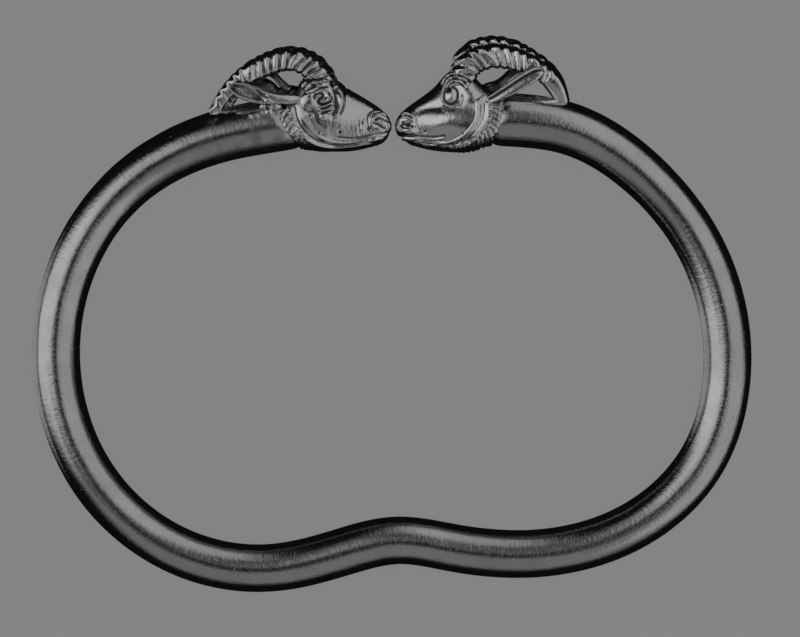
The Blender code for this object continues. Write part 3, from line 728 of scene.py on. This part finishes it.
def ridge(turns):
    """How high the horn stands at this many ridges along it: about 1 on a crest, 0 in a rounded valley."""
    wave = math.cos(math.pi * turns)
    return ((wave * wave + 0.03) ** 0.32 - 0.33) / 0.68


def make_horn(head, mirror, rise):
    """One horn: ridges that cross it at a slant, and a notched steep band along its outer edge."""
    pitch = HORN_PITCH / HUNDREDTH
    length = length_of(head["horn"])
    ridges = round(length / pitch)
    count = ridges * RIDGE_STEPS + 1
    rows = smooth(head["horn"], count)
    thin = HORN_WIDTH / 2 / HUNDREDTH / head["horn"][1][3]
    path = []
    halves = []
    sections = []
    for i, (forward, up, side, half) in enumerate(rows):
        share = i / (count - 1)
        lift = rise * step_between(-0.06, 0.2, share) * (1 - share**3)
        reach = head["far_reach"] * share**3 if mirror < 0 else 0
        uneven = 0.16 * math.sin(share * 23 + mirror) + 0.1 * math.sin(share * 41 + 2)
        along = share * ridges + uneven
        plain = step_between(head["tail_from"], head["tail_from"] + 0.1, share)
        beads = step_between(head["beads_from"], head["beads_from"] + 0.08, share)
        depth = RIDGE_DEPTH * (1 - plain) * (1 - 0.35 * beads) * step_between(0, 0.06, share)
        low = 1 - ridge(along - head["band"] * half * head["lean"] / pitch)
        outer = head["band"] + (0.2 * low * (1 - beads) + (0.12 - 0.56 * low) * beads) * (1 - plain)
        inner = 0.78 - 0.6 * plain
        section = []
        for p, q in horn_section(inner, outer):
            low = 1 - ridge(along - p * half * head["lean"] / pitch)
            edge = 1 - 0.11 * (1 - plain) * low * step_between(0.4, 1, abs(p))
            section.append((p * edge, q * (1 - depth * low)))
        path.append(Vector((forward + reach, up + lift, side * mirror)))
        halves.append((half, half * thin))
        sections.append(section)
    horn = draw_out("horn", sweep_rings(path, halves, sections))
    return finish_with(horn, "SUBSURF", levels=1, render_levels=1)


def make_ear(head, mirror):
    """An ear: a round stalk that opens into a hollow or folded blade."""
    rows = smooth(head["ear"] if mirror > 0 else head["far_ear"], EAR_RINGS)
    blade = LEAF_SECTION if head is LEFT else FOLD_SECTION
    path = []
    halves = []
    sections = []
    for i, (forward, up, side, half) in enumerate(rows):
        opened = step_between(*head["blade_from"], i / (len(rows) - 1))
        path.append(Vector((forward, up, side)))
        halves.append((half, EAR_THICKNESS / 2 / HUNDREDTH * min(1, 0.35 + half / 8)))
        mixed = np.array(DOME_SECTION) * (1 - opened) + np.array(blade) * opened
        sections.append([tuple(pair) for pair in mixed])
    rings = sweep_rings(path, halves, sections)
    rings = [[Vector((p.x, p.y, p.z * mirror)) for p in ring] for ring in rings]
    ear = draw_out("ear", rings)
    return finish_with(ear, "SUBSURF", levels=2, render_levels=2)


def make_strut(head):
    """The bar of metal that ties the far ear to its horn."""
    rows = smooth(head["strut"], STRUT_RINGS)
    path = [Vector(row[:3]) for row in rows]
    halves = [(half, half * 0.7) for half in rows[:, 3]]
    rings = sweep_rings(path, halves, [ellipse(12)] * len(path))
    return finish_with(draw_out("strut", rings), "SUBSURF", levels=1, render_levels=1)


def make_solder(forward, up, side, *radii):
    """A drop of solder."""
    bpy.ops.object.select_all(action="DESELECT")
    bpy.ops.mesh.primitive_uv_sphere_add(segments=24, ring_count=16, radius=1, location=(forward, up, side))
    bpy.ops.transform.resize(value=radii)
    return bpy.context.object


def tree_of(obj):
    """The piece's faces, for finding the nearest place on them or what a ray meets."""
    return BVHTree.FromPolygons(places_of(obj).tolist(), [tuple(face.vertices) for face in obj.data.polygons])


def shelter(obj):
    """For each vertex, the share of the space before it that the piece itself hides: the measure for the
    heads' painted shade.
    """
    points = places_of(obj)
    normals = normals_of(obj)
    tree = tree_of(obj)
    draw = np.random.default_rng(5)
    hidden = np.zeros(len(points))
    starts = (points + normals * 0.3).tolist()
    for _ in range(SHELTER_RAYS):
        ways = draw.normal(size=points.shape)
        ways /= np.linalg.norm(ways, axis=1)[:, None]
        # A little more than the normal itself, so that no ray goes into the skin
        ways += normals * 1.02
        ways /= np.linalg.norm(ways, axis=1)[:, None]
        for i, (start, way) in enumerate(zip(starts, ways.tolist())):
            if tree.ray_cast(start, way, SHELTER_REACH)[0] is not None:
                hidden[i] += 1 / SHELTER_RAYS
    return smoothed(obj, hidden[:, None] * np.ones(3), 3)[:, 0]


def laid_on(points, forms):
    """The skin's points moved onto the smooth forms that it was cast from. The fillets between them stay."""
    laid = points.copy()
    for i, point in enumerate(points.tolist()):
        place, _, _, gap = forms.find_nearest(point)
        if gap < FILLET:
            share = min(1, 2 - 2 * gap / FILLET)
            laid[i] += (np.array(place) - point) * share
    return laid


def make_casting(head):
    """The head with its horns and ears, made one skin."""
    core = draw_out(head["name"] + "_core", core_rings(head))
    made = [finish_with(core, "SUBSURF", levels=3, render_levels=3)]
    for mirror, rise in ((1, 0), (-1, head["far_rise"])):
        made.append(make_horn(head, mirror, rise))
        made.append(make_ear(head, mirror))
    if head["strut"]:
        made.append(make_strut(head))
    made += [make_solder(*drop) for drop in head["solder"]]
    bpy.ops.object.select_all(action="DESELECT")
    for obj in made:
        obj.select_set(True)
    bpy.context.view_layer.objects.active = made[0]
    bpy.ops.object.transform_apply(location=True, rotation=True, scale=True)
    bpy.ops.object.join()
    whole = made[0]
    whole.name = "silver_" + head["name"]
    forms = tree_of(whole)
    finish_with(whole, "REMESH", mode="VOXEL", voxel_size=CAST_GRAIN, adaptivity=0)
    finish_with(whole, "SMOOTH", factor=0.5, iterations=3)
    points = laid_on(places_of(whole), forms)
    move_to(whole, smoothed(whole, points, 1))
    return whole


def carve(whole, head):
    """Models and chases both sides of the casting, and keeps it as deep as its solid."""
    points = places_of(whole)
    # 1 where the skin faces straight out on the near side, and -1 on the far side
    outward = normals_of(whole)[:, 2]
    points[:, 2] += modelling(head, points[:, :2]) * outward
    move_to(whole, points)
    height = chasing(head, points[:, :2])
    height += 0.09 * cloud(points, 3.1, 5) + 0.03 * cloud(points, 1.3, 6)
    points += normals_of(whole) * height[:, None]
    over = np.maximum(np.abs(points[:, 2]) - CROWN, 0)
    room = CEILING - CROWN
    points[:, 2] -= np.sign(points[:, 2]) * (over - room * (1 - np.exp(-over / room)))
    move_to(whole, points)
    triangles = sum(len(face.vertices) - 2 for face in whole.data.polygons)
    if triangles > HEAD_TRIANGLES:
        finish_with(whole, "DECIMATE", ratio=HEAD_TRIANGLES / triangles)


def make_head(head, finish):
    """A cast and chased head, with the places of its patina and its painted shade kept on it, in its own
    place on the bar.
    """
    whole = make_casting(head)
    carve(whole, head)
    fine = depth_below(whole, 4)
    broad = depth_below(whole, 40)
    hidden = shelter(whole)
    # The hollow value is patina where the skin lies below its smoothed surface, plus painted shade where the
    # head's own forms hide the light.
    keep_value(whole, "hollow", np.clip(fine / 0.35 + broad / 2 + hidden * 1.8 - 0.28, -1, 1.5))
    points = places_of(whole) * HUNDREDTH * [head["facing"], 1, 1] + np.array(throat(head))
    move_to(whole, points)
    if head["facing"] < 0:
        whole.data.flip_normals()
    layer = whole.data.attributes.new("straight", "FLOAT_VECTOR", "POINT")
    layer.data.foreach_set("vector", points.astype(np.float32).ravel())
    dress(whole, finish, head["name"])


def dress(obj, finish, node):
    """Gives a piece its finish and its place in the frame."""
    obj.data.materials.clear()
    obj.data.materials.append(finish)
    obj.data.shade_smooth()
    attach(obj, "root")
    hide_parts(node)


# Materials

# How many lumps of each pattern there are to a metre. The marks are along the bar, across it and up.
CLOUDS = 260
GRAIN = 2600
PITS = 1500
PITTED_PATCHES = 620
FINE_MARKS = (5200.0, 420.0, 420.0)
BROAD_MARKS = (2500.0, 260.0, 260.0)
WARMTH = 0.985  # how much blue the grey of the metal and the floor has, as a share of its red


class Value:
    """A socket that shader maths can be written with."""

    def __init__(self, finish, socket):
        self.finish = finish
        self.socket = socket

    def maths(self, operation, first, second):
        return self.finish.node("ShaderNodeMath", {0: first, 1: second}, operation=operation)

    def __add__(self, other):
        return self.maths("ADD", self, other)

    def __radd__(self, other):
        return self.maths("ADD", other, self)

    def __sub__(self, other):
        return self.maths("SUBTRACT", self, other)

    def __rsub__(self, other):
        return self.maths("SUBTRACT", other, self)

    def __mul__(self, other):
        return self.maths("MULTIPLY", self, other)

    def __rmul__(self, other):
        return self.maths("MULTIPLY", other, self)

    def __truediv__(self, other):
        return self.maths("DIVIDE", self, other)

    def __pow__(self, other):
        return self.maths("POWER", self, other)


class Finish:
    """A tree of nodes, for a material or for the light round the object."""

    def __init__(self, tree):
        self.tree = tree

    def feed(self, socket, value):
        if isinstance(value, Value):
            self.tree.links.new(value.socket, socket)
        else:
            socket.default_value = value

    def node(self, kind, inputs, output=0, stops=None, **settings):
        node = self.tree.nodes.new(kind)
        for key, value in settings.items():
            setattr(node, key, value)
        for i, (at, shade) in enumerate(stops or []):
            stop = node.color_ramp.elements[i] if i < 2 else node.color_ramp.elements.new(at)
            stop.position = at
            stop.color = (shade, shade, shade, 1)
        for key, value in inputs.items():
            self.feed(node.inputs[key], value)
        return Value(self, node.outputs[output])

    def ramp(self, value, stops):
        return self.node("ShaderNodeValToRGB", {0: value}, stops=stops)

    def soft_step(self, value, low, high):
        """0 below the low value and 1 above the high one, or the other way round where low is the higher."""
        inputs = {"Value": value, "From Min": low, "From Max": high}
        return self.node("ShaderNodeMapRange", inputs, interpolation_type="SMOOTHSTEP")

    def noise(self, place, scale, detail=2.0, roughness=0.5):
        inputs = {"Vector": place, "Scale": scale, "Detail": detail, "Roughness": roughness}
        return self.node("ShaderNodeTexNoise", inputs)


def silver(name, base, rough, patina_and_shade, skin):
    """Old silver: bright where it is handled, dull and dark in the hollows from patina and, on the heads,
    painted shade, pitted and finely scratched.

    patina_and_shade is how dark the hollows are, from patina and, on the heads, painted shade where their own
    forms hide the light; skin is how deep the grain goes, in metres.
    """
    material = bpy.data.materials.new(name)
    material.use_nodes = True
    finish = Finish(material.node_tree)
    shader = material.node_tree.nodes["Principled BSDF"]
    shader.inputs["Metallic"].default_value = 1.0
    place = finish.node("ShaderNodeTexCoord", {}, output=3)
    straight = finish.node("ShaderNodeAttribute", {}, output=1, attribute_name="straight")
    hollow = finish.node("ShaderNodeAttribute", {}, output=2, attribute_name="hollow")
    clouds = finish.noise(place, CLOUDS, 3.0)
    grain = finish.noise(place, GRAIN, 3.0, 0.65)
    fine_place = finish.node("ShaderNodeMapping", {"Vector": straight, "Scale": FINE_MARKS})
    marks = finish.noise(fine_place, 1.0, 2.0, 0.6)
    broad_place = finish.node("ShaderNodeMapping", {"Vector": straight, "Scale": BROAD_MARKS})
    broad_marks = finish.noise(broad_place, 1.0, 1.0)
    pits = finish.node("ShaderNodeTexVoronoi", {"Vector": place, "Scale": PITS}, feature="F1")
    pit = finish.ramp(pits, [(0.0, 1.0), (0.13, 0.0)])
    rough_patch = finish.ramp(finish.noise(place, PITTED_PATCHES, 1.0), [(0.5, 0.0), (0.62, 1.0)])
    pitted = pit * rough_patch
    # Darkness in the hollows: patina, and on the heads also painted shade where their own forms hide the
    # light.
    dark = finish.ramp(hollow, [(0.15, 0.0), (0.85, 1.0)])
    tarnish = finish.ramp(clouds, [(0.35, 0.0), (0.7, 1.0)])
    shade = base * (1 - dark * patina_and_shade) * (1 - tarnish * 0.16) * (0.86 + grain * 0.28) * (1 - pitted * 0.6)
    colour = finish.node("ShaderNodeCombineColor", {0: shade, 1: shade, 2: shade * WARMTH})
    finish.feed(shader.inputs["Base Color"], colour)
    finish.feed(shader.inputs["Roughness"], rough + clouds * 0.08 + grain * 0.08 + dark * 0.2 + pitted * 0.2)
    relief = grain * 1.2 + marks * 0.6 + broad_marks * 0.5 - pitted * 1.8
    bump = finish.node("ShaderNodeBump", {"Strength": 1.0, "Distance": skin, "Height": relief})
    finish.feed(shader.inputs["Normal"], bump)
    return material


# Floor, light and camera

FLOOR_GLOW = 0.215  # the even light that the floor gives back, whatever stands on it
FLOOR_SHADE = 0.09  # what it gives back of the light that reaches it, so that a faint shadow stays
FRAME_WIDTH = 0.0936  # how much of the floor the picture's long side spans at the bracelet
FLOOR_SIZE = 6
FLOOR_DROP = 0.00002  # how far it lies under the bracelet, so that the two don't share a plane
VIEW_CENTRE = (0.00079, -0.00065)
LENS = 200
SENSOR = 36
DARK = 0.004  # the light between the panels

# Panels of light round the bracelet, as seen from it. First comes the strength. Then each pair is an edge:
# the angles from overhead, in degrees, where the light is nothing and where it is full. Two edges bound it
# along X, two along Y, and the last is how low it comes. An edge near 200 lies past everything: it is open.
PANELS = [
    (0.55, (-105, -95), (-6, -28), (-14, -2), (50, 22), (102, 88)),
    (0.55, (-105, -95), (-28, -46), (-38, -8), (50, 22), (102, 88)),
    (0.48, (-105, -95), (3, -18), (-3, 8), (44, 10), (102, 88)),
    (0.36, (0, 16), (200, 190), (-14, 0), (200, 190), (88, 68)),
    (0.36, (9, 27), (200, 190), (-75, -45), (6, -8), (100, 78)),
    (0.34, (-14, 8), (200, 190), (26, 46), (200, 190), (86, 66)),
    (0.175, (-60, -28), (200, 190), (-200, -190), (-8, -26), (94, 68)),
    (0.30, (-200, -190), (-98, -108), (-60, -30), (60, 30), (170, 160)),
]


def make_floor():
    bpy.ops.object.select_all(action="DESELECT")
    bpy.ops.mesh.primitive_plane_add(size=FLOOR_SIZE, location=(0, 0, -FLOOR_DROP))
    floor = bpy.context.object
    floor.name = "floor"
    floor.visible_glossy = False
    material = bpy.data.materials.new("pale_floor")
    material.use_nodes = True
    shader = material.node_tree.nodes["Principled BSDF"]
    shader.inputs["Base Color"].default_value = (FLOOR_SHADE, FLOOR_SHADE, FLOOR_SHADE * WARMTH, 1)
    shader.inputs["Roughness"].default_value = 1.0
    shader.inputs["Specular IOR Level"].default_value = 0.0
    shader.inputs["Emission Color"].default_value = (FLOOR_GLOW, FLOOR_GLOW * 1.003, FLOOR_GLOW * 0.965, 1)
    shader.inputs["Emission Strength"].default_value = 1.0
    floor.data.materials.append(material)


def make_light():
    """A tent of soft panels: bright ones to the left, paler ones round the rest, and dark between them."""
    world = bpy.data.worlds.new("tent")
    bpy.context.scene.world = world
    world.use_nodes = True
    tree = world.node_tree
    finish = Finish(tree)
    way = finish.node("ShaderNodeTexCoord", {}, output=0)
    x, y, z = (finish.node("ShaderNodeSeparateXYZ", {0: way}, output=axis) for axis in range(3))
    angle = finish.node("ShaderNodeMath", {0: z}, operation="ARCCOSINE") * math.degrees(1)
    level = (x * x + y * y + 0.000001) ** 0.5
    across = angle * (x / level)
    along = angle * (y / level)
    light = DARK
    for strength, left, right, front, back, low in PANELS:
        panel = finish.soft_step(across, *left) * finish.soft_step(across, *right)
        panel = panel * finish.soft_step(along, *front) * finish.soft_step(along, *back)
        panel = panel * finish.soft_step(angle, *low) * strength
        light = panel.maths("MAXIMUM", light, panel)
    colour = finish.node("ShaderNodeCombineColor", {0: light, 1: light, 2: light})
    finish.feed(tree.nodes["Background"].inputs["Color"], colour)


def make_camera():
    data = bpy.data.cameras.new("camera")
    data.lens = LENS
    data.sensor_width = SENSOR
    camera = bpy.data.objects.new("camera", data)
    bpy.context.scene.collection.objects.link(camera)
    distance = FRAME_WIDTH * LENS / SENSOR
    camera.location = (*VIEW_CENTRE, NECK_DIAMETER / 2 + distance)
    data.clip_start = distance / 10
    data.clip_end = distance * 10
    bpy.context.scene.camera = camera


make_camera()
make_light()
make_floor()
make_hoop(silver("hoop_silver_finish", base=0.74, rough=0.06, patina_and_shade=0.4, skin=0.00002))
# On the heads the darkening of the hollows is patina plus painted shade where their own forms hide the light.
make_head(LEFT, silver("left_head_finish", base=0.9, rough=0.07, patina_and_shade=0.86, skin=0.000014))
make_head(RIGHT, silver("right_head_finish", base=0.92, rough=0.07, patina_and_shade=0.86, skin=0.000014))
bpy.context.scene.view_settings.view_transform = "Standard"
